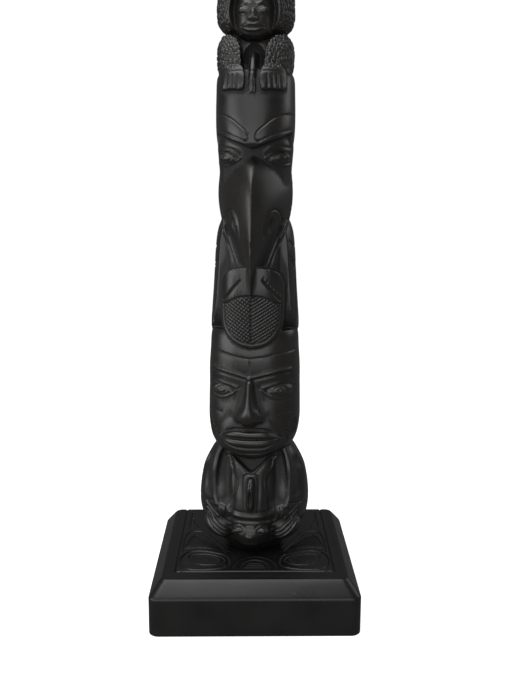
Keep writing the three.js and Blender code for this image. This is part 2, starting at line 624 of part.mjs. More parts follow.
// ---------------------------------------------------------------- the part

const resinBlack = { color: 0x14110f, roughness: 0.38, metalness: 0 };

function meshOf(name, solid) {
  const mesh = new THREE.Mesh(geometryOf(solid), new THREE.MeshStandardMaterial({ ...resinBlack }));
  mesh.name = name;
  return mesh;
}

const face = solidOf(geometryOf(makeFace()).rotateZ(THREE.MathUtils.degToRad(faceTurn)));
const pole = union([makeBody(), face, makeRaven(), makeSmallFigure()]);
const aboveSeat = solidOf(new THREE.BoxGeometry(120, 120, 400).translate(0, 0, footZ + 200));
const poleMesh = meshOf('totem_pole', pole.intersect(aboveSeat));
poleMesh.geometry.rotateZ(THREE.MathUtils.degToRad(poleTurn));

const group = new THREE.Group();
group.name = 'totem_pole_on_base';
group.add(poleMesh, meshOf('base', makeBase()));

export default group;
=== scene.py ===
import math
import random
from functools import partial

import bmesh
import bpy
import numpy as np
from mathutils import Matrix, Vector, kdtree


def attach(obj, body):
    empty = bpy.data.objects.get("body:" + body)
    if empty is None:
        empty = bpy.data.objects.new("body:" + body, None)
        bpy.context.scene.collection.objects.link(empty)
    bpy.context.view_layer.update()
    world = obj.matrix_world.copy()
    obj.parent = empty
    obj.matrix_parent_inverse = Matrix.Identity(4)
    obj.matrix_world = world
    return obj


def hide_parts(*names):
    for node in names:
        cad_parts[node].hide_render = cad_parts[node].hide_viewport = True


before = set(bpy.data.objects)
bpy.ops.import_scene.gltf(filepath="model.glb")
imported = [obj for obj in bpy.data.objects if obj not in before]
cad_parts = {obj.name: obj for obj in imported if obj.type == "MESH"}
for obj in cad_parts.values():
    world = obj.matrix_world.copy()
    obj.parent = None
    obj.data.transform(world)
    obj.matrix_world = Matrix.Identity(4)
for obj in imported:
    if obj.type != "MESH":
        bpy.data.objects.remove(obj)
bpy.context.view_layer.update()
mm = 0.001                     # the forms are drawn in millimetres and scaled once, at the end

# the pole's own settings, in millimetres about its own axis
pole = {
    "turn": -5.5,              # degrees the pole is twisted on its base
    "faceTurn": -2.8,          # the large face looks a little further to that side
    "foot": 26.8,              # where it is cut level, a hair above the base
    "grain": 0.37,             # spacing of the fine surface before it is thinned
    "evening": (0.5, 3),       # smoothing of the joined masses: factor and rounds
    "polish": (0.4, 1),        # and again after the carving
    "faces": 188000,
    "seed": 12,
    "tuft": 1.45,              # width of a tuft of fur
    "tuftHeight": 0.66,
    "relief": (14, 2.2),       # reach and strength of the hollow measure that the finish reads for its painted shade and dullness in the hollows
}
faceTurn = Matrix.Rotation(math.radians(pole["faceTurn"]), 4, "Z")

# outlines at rising heights: [height, half width, depth in front, depth behind]
bodyStations = [
    [26.8, 13.5, 12, 13.5], [30, 16, 14, 15.5], [34, 19.6, 16.4, 18], [39, 23.6, 18.6, 20.4],
    [45, 27, 20, 22.4], [52, 28.2, 20.4, 23], [60, 27.8, 19.8, 22.5], [66, 26.9, 18.6, 21.5],
    [71, 25.6, 17.4, 20.5], [79, 21.5, 15.5, 18.5], [85, 17, 13, 16],
]
whaleBackStations = [
    [42, 14, 24.4, 0], [50, 14, 24.8, 0], [58, 13.6, 24.2, 0], [66, 13.6, 22.6, 0],
    [74, 15, 21.6, 0], [82, 16, 21.4, 0],
]
whaleHeadStations = [
    [31.6, 4, 18, 0], [33.6, 8.6, 22.8, 0], [38, 10.8, 25.6, 0], [42, 11.2, 25.8, 0],
    [45, 10.9, 24.6, 0], [46.6, 10.4, 22.8, 0],
]
finStations = [[52.6, 2, 25, 0], [54, 2.8, 27.8, 0], [62, 2.8, 28.6, 0], [67, 2.5, 27.8, 0],
               [69.6, 1.8, 24.5, 0]]
faceStations = [
    [77.5, 8, 16.5, 8], [79.5, 13.5, 20, 12], [82.5, 18.8, 21.6, 16], [87, 21.6, 22, 18],
    [95, 23, 21.5, 18.5], [104, 23.1, 20.5, 18.5], [114, 22.9, 19.5, 18.5], [123, 22.8, 20.5, 18],
    [132, 22.2, 20.2, 17.5], [139, 21.8, 18.8, 17], [142, 21, 17.5, 16.5],
]
noseStations = [
    [95.4, 9, 22.4, 0], [97, 12.4, 25.2, 0], [99.5, 13.4, 26.7, 0], [102.5, 11, 26.9, 0],
    [105.5, 7.4, 26.3, 0], [110, 5.6, 24.8, 0], [115, 5, 23, 0], [120, 6, 21, 0],
]
trunkStations = [[138, 17, 15.5, 16.5], [165, 16, 15, 16.5], [192, 15.5, 15, 16.5],
                 [218, 16, 14, 16.5]]
sleeveStations = [
    [139, 19.6, 17, 17.5], [140.6, 21.6, 19, 18], [145, 22, 19, 18], [153, 21.5, 18.6, 18],
    [161, 20.9, 18.2, 17.5], [169, 20.4, 17.8, 17.5], [181, 19.7, 17.2, 17.5], [190, 18.6, 16, 17],
    [196, 16.5, 14, 16],
]
shieldStations = [
    [132, 17.5, 20.6, 0], [136, 17.5, 21.8, 0], [146, 17.5, 22.6, 0], [158, 17.5, 23, 0],
    [175, 17.5, 22.6, 0],
]
beakStations = [
    [158.6, 0.7, 25.2, -20], [162.5, 2.6, 26, -17], [167, 4.6, 26.7, -13], [173.5, 7.8, 27.4, -8],
    [181, 11.4, 28, -4], [188, 14.4, 28.2, 0], [195, 16.8, 27.9, 0], [202, 18.1, 27.1, 0],
    [208, 18.5, 25.8, 0], [214, 18.1, 23.6, 0], [219, 17.5, 20.4, 0], [223, 16.8, 17, 0],
    [226, 15.5, 14.5, 0],
]
mandibleStations = [
    [164, 1.5, 20.5, -12], [168, 5.6, 21.2, -8], [174, 9.4, 21.6, -4], [182, 13.2, 21.6, 0],
    [190, 15.6, 21, 0], [196, 16.6, 19.5, 0],
]
ravenStations = [
    [190, 15, 13, 16.5], [200, 16.6, 13, 17], [212, 17.4, 13.4, 17.2], [219, 17.6, 14.2, 17.3],
    [224, 18, 15, 17.4], [231, 18.3, 15.6, 17.4], [240, 16.4, 13.5, 15.4], [258, 15, 12, 14],
]
foreheadStations = [
    [227.5, 16.9, 20.8, 15.5], [230, 18.1, 22.4, 17], [236, 18.9, 22.2, 17.8],
    [244, 19.1, 21.2, 18], [254, 18.9, 20, 17.8], [260.5, 18.6, 18.8, 17.4],
    [263, 17.7, 17.2, 16.6], [264, 16.5, 16, 15.6],
]
smallBodyStations = [[259, 15, 8, 14], [270, 15.5, 8.5, 14.5], [281, 12.5, 7, 13], [292, 13, 6, 12]]
legStations = [[260, 17.6, 17.2, 15], [268, 18, 17.2, 15.5], [275, 18, 15.8, 15.5],
               [281, 15.5, 12, 13]]
pawStations = [[253, 19, 21.8, 0], [258, 19, 22, 0], [263, 18.6, 20.6, 0], [267, 17.6, 17.6, 0]]
hoodStations = [
    [280.4, 11, 8, 11], [282.4, 15, 12, 14], [286, 17.6, 14.2, 15.4], [293, 18.2, 14.6, 15.6],
    [300, 17.4, 14.4, 15], [305.5, 14.4, 12.4, 13], [309.6, 9.4, 8.2, 9], [312, 3, 2.6, 3],
]
smallHeadStations = [
    [277.4, 3.6, 13, 4], [278.8, 7, 15.4, 7], [282, 9.4, 16.4, 9], [288, 10.4, 16.2, 9],
    [295, 10.4, 15.4, 9], [301, 9.2, 13.4, 8],
]


# the outline at each height, with smooth steps between the stations
def levelsAt(stations, heights):
    table = np.array(stations, float)
    z = np.clip(heights, table[0, 0], table[-1, 0])
    i = np.clip(np.searchsorted(table[:, 0], z, side="right") - 1, 0, len(table) - 2)
    before, here, there = table[np.maximum(i - 1, 0)], table[i], table[i + 1]
    after = table[np.minimum(i + 2, len(table) - 1)]
    span = (there[:, 0] - here[:, 0])[:, None]
    t = (z - here[:, 0])[:, None] / span
    slopeIn = (there - before) / (there[:, 0] - before[:, 0])[:, None] * span
    slopeOut = (after - here) / (after[:, 0] - here[:, 0])[:, None] * span
    rise = there - here
    return here + t * (slopeIn + t * (3 * rise - 2 * slopeIn - slopeOut
                                      + t * (slopeIn + slopeOut - 2 * rise)))


# y of a form's front at (x, z)
def frontOf(stations, x, z, power=2.0):
    _, half, front, _ = levelsAt(stations, np.array([z]))[0]
    return -front * (1 - min(abs(x) / half, 0.999) ** power) ** (1 / power)


# a grid rolled into a tube, its seam merged and both ends closed
def rolled(rows, sides, place):
    form = bmesh.new()
    bmesh.ops.create_grid(form, x_segments=sides, y_segments=rows, size=1)
    flat = np.array([vert.co[:2] for vert in form.verts])
    for vert, spot in zip(form.verts, place((flat[:, 0] + 1) / 2, (flat[:, 1] + 1) / 2)):
        vert.co = spot
    bmesh.ops.remove_doubles(form, verts=form.verts, dist=1e-4)
    bmesh.ops.holes_fill(form, edges=form.edges)
    bmesh.ops.recalc_face_normals(form, faces=form.faces)
    return form


def loft(stations, frontPower=2.0, backPower=2.0, sides=96, step=0.9):
    bottom, top = stations[0][0], stations[-1][0]

    def place(turn, rise):
        z = bottom + (top - bottom) * rise
        across, along = np.cos(turn * 2 * np.pi), np.sin(turn * 2 * np.pi)
        power = np.where(along < 0, frontPower, backPower)
        level = levelsAt(stations, z)
        depth = np.where(along < 0, level[:, 2], level[:, 3])
        x = level[:, 1] * np.sign(across) * np.abs(across) ** (2 / power)
        y = depth * np.sign(along) * np.abs(along) ** (2 / power)
        return np.column_stack([x, y, z])

    return rolled(max(3, round((top - bottom) / step)), sides, place)


def blob(spot, radii, turn=(0, 0, 0)):
    form = bmesh.new()
    bmesh.ops.create_uvsphere(form, u_segments=32, v_segments=20, radius=1)
    matrix = Matrix.Translation(spot)
    for axis, angle in zip("ZYX", reversed(turn)):
        matrix = matrix @ Matrix.Rotation(math.radians(angle), 4, axis)
    bmesh.ops.transform(form, matrix=matrix @ Matrix.Diagonal((*radii, 1)), verts=form.verts)
    return form


# points on a smooth line through a few given ones
def smoothLine(points, closed=False, each=10):
    given = np.array(points, float)
    if len(given) == 2 and not closed:
        return given
    if closed:
        padded = np.vstack([given[-1:], given, given[:2]])
    else:
        padded = np.vstack([2 * given[:1] - given[1:2], given, 2 * given[-1:] - given[-2:-1]])
    t = np.linspace(0, 1, each, endpoint=False)[:, None]
    spans = []
    for a, b, c, d in zip(padded, padded[1:], padded[2:], padded[3:]):
        spans.append(0.5 * (2 * b + (c - a) * t + (2 * a - 5 * b + 4 * c - d) * t ** 2
                            + (3 * b - a - 3 * c + d) * t ** 3))
    line = np.vstack(spans)
    return line if closed else np.vstack([line, given[-1:]])


# a round rod along a smooth line, thinner at its ends when tapered
def rod(points, radius, taper=0.0):
    line = smoothLine(points)
    along = np.gradient(line, axis=0)
    along /= np.linalg.norm(along, axis=1)[:, None]
    across = np.cross(along, [0.13, 0.21, 0.97])
    across /= np.linalg.norm(across, axis=1)[:, None]
    upward = np.cross(across, along)

    def place(turn, rise):
        i = np.round(rise * (len(line) - 1)).astype(int)
        size = radius * (1 - taper * np.abs(2 * rise - 1) ** 3)
        angle = turn[:, None] * 2 * np.pi
        return line[i] + size[:, None] * (np.cos(angle) * across[i] + np.sin(angle) * upward[i])

    return rolled(len(line) - 1, 16, place)


def onFront(stations, points, power, lift=0.0):
    return [(x, frontOf(stations, x, z, power) - lift, z) for x, z in points]


def mirroredOutline(points):
    return points + [(-x, z) for x, z in reversed(points) if x > 0]


# a deep block cut to an outline seen from the front, or from the side when sideways
def block(points, near, far, sideways=False):
    form = bmesh.new()
    outline = smoothLine(points, closed=True, each=8)
    rim = [form.verts.new((near, u, v) if sideways else (u, near, v)) for u, v in outline]
    form.faces.new(rim)
    walls = bmesh.ops.extrude_face_region(form, geom=form.faces[:])
    moved = [item for item in walls["geom"] if isinstance(item, bmesh.types.BMVert)]
    reach = far - near
    bmesh.ops.translate(form, verts=moved, vec=(reach, 0, 0) if sideways else (0, reach, 0))
    bmesh.ops.recalc_face_normals(form, faces=form.faces)
    return form


def meshFrom(form, name="form"):
    mesh = bpy.data.meshes.new(name)
    form.to_mesh(mesh)
    form.free()
    return mesh


def gathered(forms):
    whole = bmesh.new()
    for form in forms:
        mesh = meshFrom(form)
        whole.from_mesh(mesh)
        bpy.data.meshes.remove(mesh)
    return whole


# the form itself and its twin on the other side of the middle
def both(form):
    twin = form.copy()
    bmesh.ops.scale(twin, vec=(-1, 1, 1), verts=twin.verts)
    bmesh.ops.reverse_faces(twin, faces=twin.faces)
    return [form, twin]


# a mesh as its modifiers leave it
def finishedBy(mesh, *modifiers):
    thing = bpy.data.objects.new("work", mesh)
    bpy.context.collection.objects.link(thing)
    for kind, settings in modifiers:
        modifier = thing.modifiers.new(kind.lower(), kind)
        for key, value in settings.items():
            setattr(modifier, key, value)
    graph = bpy.context.evaluated_depsgraph_get()
    result = bpy.data.meshes.new_from_object(thing.evaluated_get(graph))
    bpy.data.objects.remove(thing)
    return result


# one closed form met or cut by others
def combined(form, tools, how):
    cutter = bpy.data.objects.new("tool", meshFrom(gathered(tools)))
    bpy.context.collection.objects.link(cutter)
    mesh = finishedBy(meshFrom(form), ("BOOLEAN", {"object": cutter, "operation": how,
                                                   "solver": "EXACT"}))
    bpy.data.objects.remove(cutter)
    result = bmesh.new()
    result.from_mesh(mesh)
    return result


def less(form, *tools):
    return combined(form, tools, "DIFFERENCE")


def meeting(form, tool):
    return combined(form, [tool], "INTERSECT")


# the masses of each figure, from the foot up
def crouchingBody():
    trunk = loft(bodyStations, 2.3, 2.4)
    shin = rod([(14.6, -9, 85), (18, -13.2, 74), (18.6, -14, 66), (18.4, -14.8, 58),
                (17, -16.2, 52.5)], 2.3)
    hand = blob((14.8, -15.9, 50.4), (4.2, 3.3, 6), (0, -10, 24))
    foot = blob((17, -13.8, 41.2), (8.6, 6.2, 5.2), (0, -26, 30))
    whaleOutline = mirroredOutline([(0, 71.6), (4, 74.4), (9, 78.6), (12.8, 80), (11.8, 75),
                                    (8.6, 70.6), (7.4, 66.6), (8.6, 60), (10.6, 54), (11.5, 48),
                                    (11.4, 44), (0, 43)])
    back = meeting(loft(whaleBackStations, 2.6), block(whaleOutline, -32, -9))
    head = loft(whaleHeadStations, 2.5)
    fin = less(loft(finStations, 3), blob((0, -30, 59.6), (1.4, 2.6, 5)))
    whaleEye = blob((6.4, -22.6, 41.8), (3, 2, 1.9), (0, 14, 16))
    snout = blob((0, -25, 39.4), (2.4, 1.8, 1.8))
    return [trunk, *both(shin), *both(hand), *both(foot), back, head, fin, *both(whaleEye), snout]


def largeFace():
    mask = less(
        loft(faceStations, 2.3, 2.4),
        *both(blob((13.4, -20.6, 112.6), (8.8, 5.2, 4.5), (0, -4, 24))),
        blob((0, -24.4, 89.7), (12.4, 5.4, 1)),
    )
    nose = loft(noseStations, 1.8)
    eye = blob((13.8, -13.7, 112.7), (7.4, 4.2, 3.7), (0, -5, 30))

    def lip(rise, radius):
        side = [(8.6, -22, 89.6 + rise * 0.9), (14.4, -17.6, 89.6)]
        return rod([(-x, y, z) for x, y, z in reversed(side)] + [(0, -23.6, 89.6 + rise)] + side,
                   radius, 0.4)

    brow = rod(onFront(faceStations, [(0, 119.2), (8, 121.3), (14, 122.6), (18.6, 123.2)], 2.3, 0.1)
               + [(21, -7, 123.4)], 0.62)
    upperLid = rod(onFront(faceStations, [(5.6, 113.9), (9, 115.2), (14, 116.4), (20, 116.4)], 2.3,
                           0.1), 0.55)
    lowerLid = rod(onFront(faceStations, [(5.6, 113.6), (8.4, 111.2), (12, 109.4), (16, 108.8),
                                          (19.2, 110.4), (20.7, 115.6)], 2.3, 0.1), 0.55)
    features = [mask, nose, *both(eye), lip(1.7, 1.75), lip(-2.2, 2.15), *both(brow),
                *both(upperLid), *both(lowerLid)]
    for form in features:
        bmesh.ops.rotate(form, matrix=faceTurn.to_3x3(), verts=form.verts)
    return features


def tailShield():
    outline = mirroredOutline([(0, 134), (4.4, 134.9), (9, 137.3), (12.8, 141), (15, 146),
                               (15.5, 153), (15.5, 161), (15.2, 166), (12.4, 170.6), (7, 172.6)])
    return [meeting(loft(shieldStations, 2.8), block(outline, -30, -8))]


def foldedWings():
    outline = [(-8.6, 193), (-9.4, 182), (-9.4, 165), (-8.8, 150), (-6, 142.6), (-1, 140),
               (4, 142.6), (8, 149), (11, 158), (12.6, 172), (11.4, 185), (5, 193.6), (-3, 195)]
    wing = meeting(loft(sleeveStations, 2, 2.4), block(outline, 9, 26, sideways=True))
    return both(wing)


def ravenHead():
    socket = blob((14.4, -14.6, 224.2), (7.6, 5.4, 4.6), (0, -6, 40))
    head = less(loft(ravenStations, 2.2, 2.4), *both(socket))
    eye = blob((12, -9.6, 224.2), (6, 4, 3), (0, -6, 40))
    below = block([(-30, 239.6), (-12, 232.9), (-4, 229.8), (0, 228.3), (4, 229.8), (12, 232.9),
                   (30, 239.6), (30, 215), (-30, 215)], -40, -6.7)
    forehead = less(loft(foreheadStations, 2.2), below)
    nostril = blob((9.8, -17.6, 192.4), (2.4, 2.2, 4.6), (0, 0, 52))
    beak = less(loft(beakStations, 1.28), *both(nostril))
    mandible = loft(mandibleStations, 1.35)
    trunk = loft(trunkStations, 2.2, 2.6)
    return [trunk, head, *both(eye), forehead, beak, mandible]


def smallFigure():
    body = less(loft(smallBodyStations, 2.2, 2.4), blob((0, -13.5, 271), (7.6, 8, 8.6)))
    hood = less(loft(hoodStations, 2.5, 2.3), blob((0, -17, 289.4), (12.2, 13, 15)))
    legOutline = [(6.4, 262), (5.6, 269), (7, 275.6), (10.6, 279.6), (14.6, 279.8), (17.4, 277),
                  (18.2, 271), (17.4, 265), (16, 262)]
    leg = meeting(loft(legStations, 2.6), block(legOutline, -30, 14))
    pawOutline = [(4.2, 254.6), (9, 254.4), (14.6, 254.6), (15.4, 258), (14.6, 263.4), (11, 265.6),
                  (6, 265.6), (3.8, 262)]
    paw = meeting(loft(pawStations, 2.4), block(pawOutline, -30, -10))
    apron = loft([[253, 3.8, 21, 0], [256, 3.2, 21.2, 0], [262, 2.6, 20.4, 0], [268, 2.1, 17, 0],
                  [272, 1.6, 13, 0]], 3)
    socket = blob((4.6, -17, 289.4), (3.4, 1.8, 2), (0, -6, 14))
    head = less(loft(smallHeadStations, 2.3), *both(socket))
    eye = blob((4.5, -14.5, 289.4), (2.5, 2, 1.35), (0, -6, 14))
    brow = rod(onFront(smallHeadStations, [(1.4, 291.8), (4.4, 292.8), (8.8, 291.4)], 2.3, 0), 0.55)
    nose = blob((0, -16.2, 287.2), (1.5, 1.7, 3))
    nostril = blob((1.5, -16.3, 285.9), (1.2, 1.4, 1))

    def lip(points, radius):
        return rod(onFront(smallHeadStations, points, 2.3, 0.1), radius, 0.4)

    upper = lip([(-5, 282.4), (-2, 283.5), (0, 283.2), (2, 283.5), (5, 282.4)], 0.55)
    lower = lip([(-5, 282.2), (-2, 280.9), (0, 280.7), (2, 280.9), (5, 282.2)], 0.66)
    return [body, hood, *both(leg), *both(paw), apron, head, *both(eye), *both(brow), nose,
            *both(nostril), upper, lower]


# carving: the fine surface is pressed in and raised along lines, like a tool over clay
def eased(value, low, high):
    t = np.clip((value - low) / (high - low), 0, 1)
    return t * t * (3 - 2 * t)


def readClay(mesh):
    count = len(mesh.vertices)
    at, normal = np.empty(count * 3), np.empty(count * 3)
    mesh.vertices.foreach_get("co", at)
    mesh.vertex_normals.foreach_get("vector", normal)
    return at.reshape(-1, 3), normal.reshape(-1, 3)


def writeClay(mesh, at):
    mesh.vertices.foreach_set("co", at.ravel())
    mesh.update()


# distance of each spot in a plane to a line through points
def distanceTo(line, spots):
    nearest = np.full(len(spots), 1e9)
    for a, b in zip(line[:-1], line[1:]):
        run = b - a
        t = np.clip((spots - a) @ run / max(run @ run, 1e-12), 0, 1)
        nearest = np.minimum(nearest, np.linalg.norm(spots - a - t[:, None] * run, axis=1))
    return nearest


def insideOf(outline, spots):
    inside = np.zeros(len(spots), bool)
    for (ax, ay), (bx, by) in zip(outline, np.roll(outline, -1, axis=0)):
        crosses = (ay > spots[:, 1]) != (by > spots[:, 1])
        where = (bx - ax) * (spots[:, 1] - ay) / (by - ay if by != ay else 1e-12) + ax
        inside ^= crosses & (spots[:, 0] < where)
    return inside


# the plane a tool works in: from the front and from above it works alike on both sides
def seenFrom(view, at, normal):
    if view == "front":
        return np.column_stack([np.abs(at[:, 0]), at[:, 2]]), eased(-normal[:, 1], 0.08, 0.4)
    if view == "side":
        return at[:, 1:], eased(np.abs(normal[:, 0]), 0.25, 0.6)
    return np.column_stack([np.abs(at[:, 0]), at[:, 1]]), eased(normal[:, 2], 0.5, 0.9)


# a sunken line, or a raised one when the depth is below zero
def scored(at, normal, points, width, depth, view="front", reach=None, closed=False):
    line = smoothLine(points, closed)
    if closed:
        line = np.vstack([line, line[:1]])
    spots, weight = seenFrom(view, at, normal)
    near = np.all((spots > line.min(0) - 3 * width) & (spots < line.max(0) + 3 * width),
                  axis=1) & (weight > 0)
    if reach:
        near &= (at[:, 1] > reach[0]) & (at[:, 1] < reach[1])
    picked = np.nonzero(near)[0]
    shape = np.exp(-(distanceTo(line, spots[picked]) / width) ** 2)
    at[picked] -= normal[picked] * (depth * weight[picked] * shape)[:, None]


# how far inside an outline each spot lies, soft at the edge
def within(at, normal, points, edge, view="front", reach=None, smooth=True):
    outline = smoothLine(points, closed=True) if smooth else np.array(points, float)
    spots, weight = seenFrom(view, at, normal)
    near = np.all((spots > outline.min(0) - edge) & (spots < outline.max(0) + edge),
                  axis=1) & (weight > 0)
    if reach:
        near &= (at[:, 1] > reach[0]) & (at[:, 1] < reach[1])
    picked = np.nonzero(near)[0]
    distance = distanceTo(np.vstack([outline, outline[:1]]), spots[picked])
    signed = np.where(insideOf(outline, spots[picked]), distance, -distance)
    amount = np.zeros(len(at))
    amount[picked] = eased(signed, -edge / 2, edge) * weight[picked]
    return amount


def pressed(at, normal, amount):
    at -= normal * amount[:, None]


# rows of parallel cuts: how deep each spot lies in the nearest one
def rows(value, pitch, width):
    offset = np.abs((value / pitch + 0.5) % 1 - 0.5) * pitch
    return np.exp(-(offset / width) ** 2)


def carveBody(at, normal):
    score = partial(scored, at, normal)
    # the soft hollows beside the shins
    score([(12.6, 77), (13.4, 67), (12.8, 57)], 3, 2.7, reach=(-30, -9))
    score([(22.6, 75), (23.6, 67), (23, 59)], 1.8, 1.1, reach=(-30, -5))
    # fingers over the whale, the cuff, and toes that rise to the outer side
    for step in range(3):
        finger = 12.2 + 2.3 * step
        score([(finger, 54 - step), (finger + 0.4, 50), (finger - 0.8, 45.6)], 0.38, 0.4,
              reach=(-30, -12))
    score([(-14, 54.4), (-8, 53.6), (2, 53.4), (12, 54.4)], 0.5, 0.3, view="side")
    score([(19.6, 54.8), (22, 53.8), (25, 53.5)], 0.45, 0.5, reach=(-30, -7))
    for step in range(4):
        score([(10.6, 36.4 + 2.5 * step), (15, 38 + 2.7 * step), (19.6, 41.6 + 2.7 * step),
               (23, 45.6 + 2.4 * step)], 0.45, 0.75, reach=(-30, -8))
    # whale: eyes, arched brows, mouth, the band behind the head, the fin's edge, the flukes' ribs
    score([(3.6, 42.6), (5.4, 43.8), (7.4, 43.6), (9, 42), (7, 40.8), (4.8, 41.2)], 0.32, 0.45,
          closed=True, reach=(-31, -20))
    score([(2.6, 44.2), (5.4, 45.4), (9.6, 43.8)], 0.42, 0.55, reach=(-31, -19))
    score([(0, 35.7), (5, 35.5), (9.4, 36.8)], 0.45, 0.5, reach=(-31, -17))
    score([(0, 47.3), (6, 47.2), (11.4, 47)], 0.55, 1.0, reach=(-31, -17))
    score([(0, 49.6), (6, 49.8), (10.8, 50)], 0.8, -0.5, reach=(-31, -17))
    score([(0, 51.6), (6, 51.8), (10.8, 52.4)], 0.4, 0.4, reach=(-31, -17))
    score([(3.6, 52), (3.8, 60), (3.4, 69.4), (0, 71)], 0.45, 0.6, reach=(-31, -18))
    score([(0, 54.4), (0, 65)], 0.7, 0.9, reach=(-31, -25))
    score([(0, 66.8), (0, 67.4)], 0.8, 1.2, reach=(-31, -25))
    score([(2.6, 71.6), (6.4, 75.4), (11, 78.6)], 0.4, 0.4, reach=(-26, -19))
    score([(9.6, 51), (8.8, 57.6), (6.6, 64.6), (6.6, 68)], 0.4, 0.35, reach=(-31, -14))


def carveFace(at, normal):
    score = partial(scored, at, normal)
    score([(0, 128.7), (7, 129.7), (13, 131), (19.5, 131.9), (21.6, 132.1)], 0.38, 0.5,
          reach=(-30, -7))
    score([(0, 121.8), (0, 127.4)], 0.45, 0.3)
    score([(0, 117.9), (8, 119.9), (14, 121.1), (19.4, 121.6)], 0.55, 0.65, reach=(-30, -8))
    # iris, and the folds that run from the eye's corners
    score([(11.8, 113), (13.6, 114.6), (16.2, 114.3), (17.2, 112.6), (15.6, 111.1), (13, 111.2)],
          0.28, 0.42, closed=True, reach=(-22, -8))
    score([(14.2, 112.9), (14.8, 112.9)], 0.6, 0.3, reach=(-22, -8))
    score([(4.6, 114.6), (6.6, 112.6), (7.4, 108.6)], 0.6, 0.4)
    # nostrils, the groove down to the lip, and the rims of the lips
    score([(3.6, 96.5), (5, 96.7)], 0.7, 0.7, reach=(-30, -20))
    score([(5.4, 103.2), (6.4, 101.2), (6.6, 98.6)], 0.5, 0.35, reach=(-27, -16))
    score([(1.1, 95.2), (1, 93.4)], 0.4, 0.2)
    score([(0, 89.5), (8, 89.6), (14.8, 89.6)], 0.36, 0.8, reach=(-29, -14))
    score([(14, 101.2), (17.4, 101.6), (20.4, 101.4)], 0.36, 0.25, reach=(-27, -8))
    score([(0, 93.8), (6.5, 93.8), (11.2, 92.2), (15.4, 89.6)], 0.45, 0.6, reach=(-27, -12))
    score([(0, 84.2), (6.5, 84.5), (11.4, 86.2), (15.4, 89.2)], 0.45, 0.6, reach=(-27, -12))
    score([(0, 81), (8, 81.6), (15, 84), (18.4, 88), (18, 92)], 0.5, 0.6, reach=(-27, -10))
    score([(9.6, 100.6), (13.2, 96.4), (16.6, 92), (18.4, 87.4), (15.6, 83)], 1.7, 0.35,
          reach=(-27, -8))
    # hatched patches at the sides of the head
    patch = within(at, normal, [(-14.4, 90.4), (-13.6, 96.6), (-7, 97.2), (-6.4, 89.8)], 0.6,
                   view="side")
    crossed = np.maximum(rows(at[:, 2] + at[:, 1], 1.7, 0.35), rows(at[:, 2] - at[:, 1], 1.7, 0.35))
    pressed(at, normal, patch * crossed * 0.5)


def carveTail(at, normal):
    score = partial(scored, at, normal, reach=(-26, -17))
    score([(0, 136.2), (5.6, 137.6), (10, 140.8), (12.8, 145), (13.6, 150), (13.6, 155.6)], 0.4,
          0.6)
    # slanting feather tops over the arc of the hatched field
    score([(5.4, 166.9), (9, 163), (13.8, 157.4)], 0.45, 0.7)
    score([(0, 159.6), (6, 158.8), (13.6, 155.4)], 0.4, 0.6)
    field = within(at, normal, [(0, 159), (6, 158.4), (13.2, 155), (13.1, 149.6), (12.2, 145),
                                (9.6, 141.2), (5.4, 138.2), (0, 136.8), (-3, 148)], 0.4,
                   reach=(-26, -17))
    side = np.abs(at[:, 0])
    rising = rows(at[:, 2] - 0.62 * side, 1.7, 0.33)
    falling = rows(at[:, 2] + 1.15 * side, 2.35, 0.4)
    pressed(at, normal, field * (np.maximum(rising, falling * 0.55) - 0.2))
    score([(0, 137), (0, 159.4)], 0.45, 0.55)
    # a row of beads along the feather tops of one side only
    otherSide = at[:, 0] <= 0
    asItWas = at[otherSide]
    for step in range(7):
        x, z = 5.4 + 1.32 * step, 168.6 - 1.55 * step
        score([(x, z), (x + 0.05, z - 0.1)], 0.45, -0.5)
    at[otherSide] = asItWas


def carveWings(at, normal):
    score = partial(scored, at, normal, view="side")
    for step in range(4):
        y = -5 + 3.9 * step
        score([(y + 2, 172), (y + 1, 160), (y - 0.6, 150 + 1.2 * step),
               (y - 2.6, 145 + 1.9 * step)], 0.45, 0.6)
    for drop in (0, 1.7):
        score([(-8, 177.6 - drop), (-2.5, 174 - drop), (3, 174.6 - drop), (11, 179.4 - drop)], 0.4,
              0.5)
    score([(-7.4, 185), (-2.5, 182), (3, 182.6), (9.6, 186)], 0.45, 0.5)
    score([(-1.6, 187.2), (1.6, 187.6), (2.6, 189.6), (0.6, 191), (-1.8, 190)], 0.35, 0.4,
          closed=True)


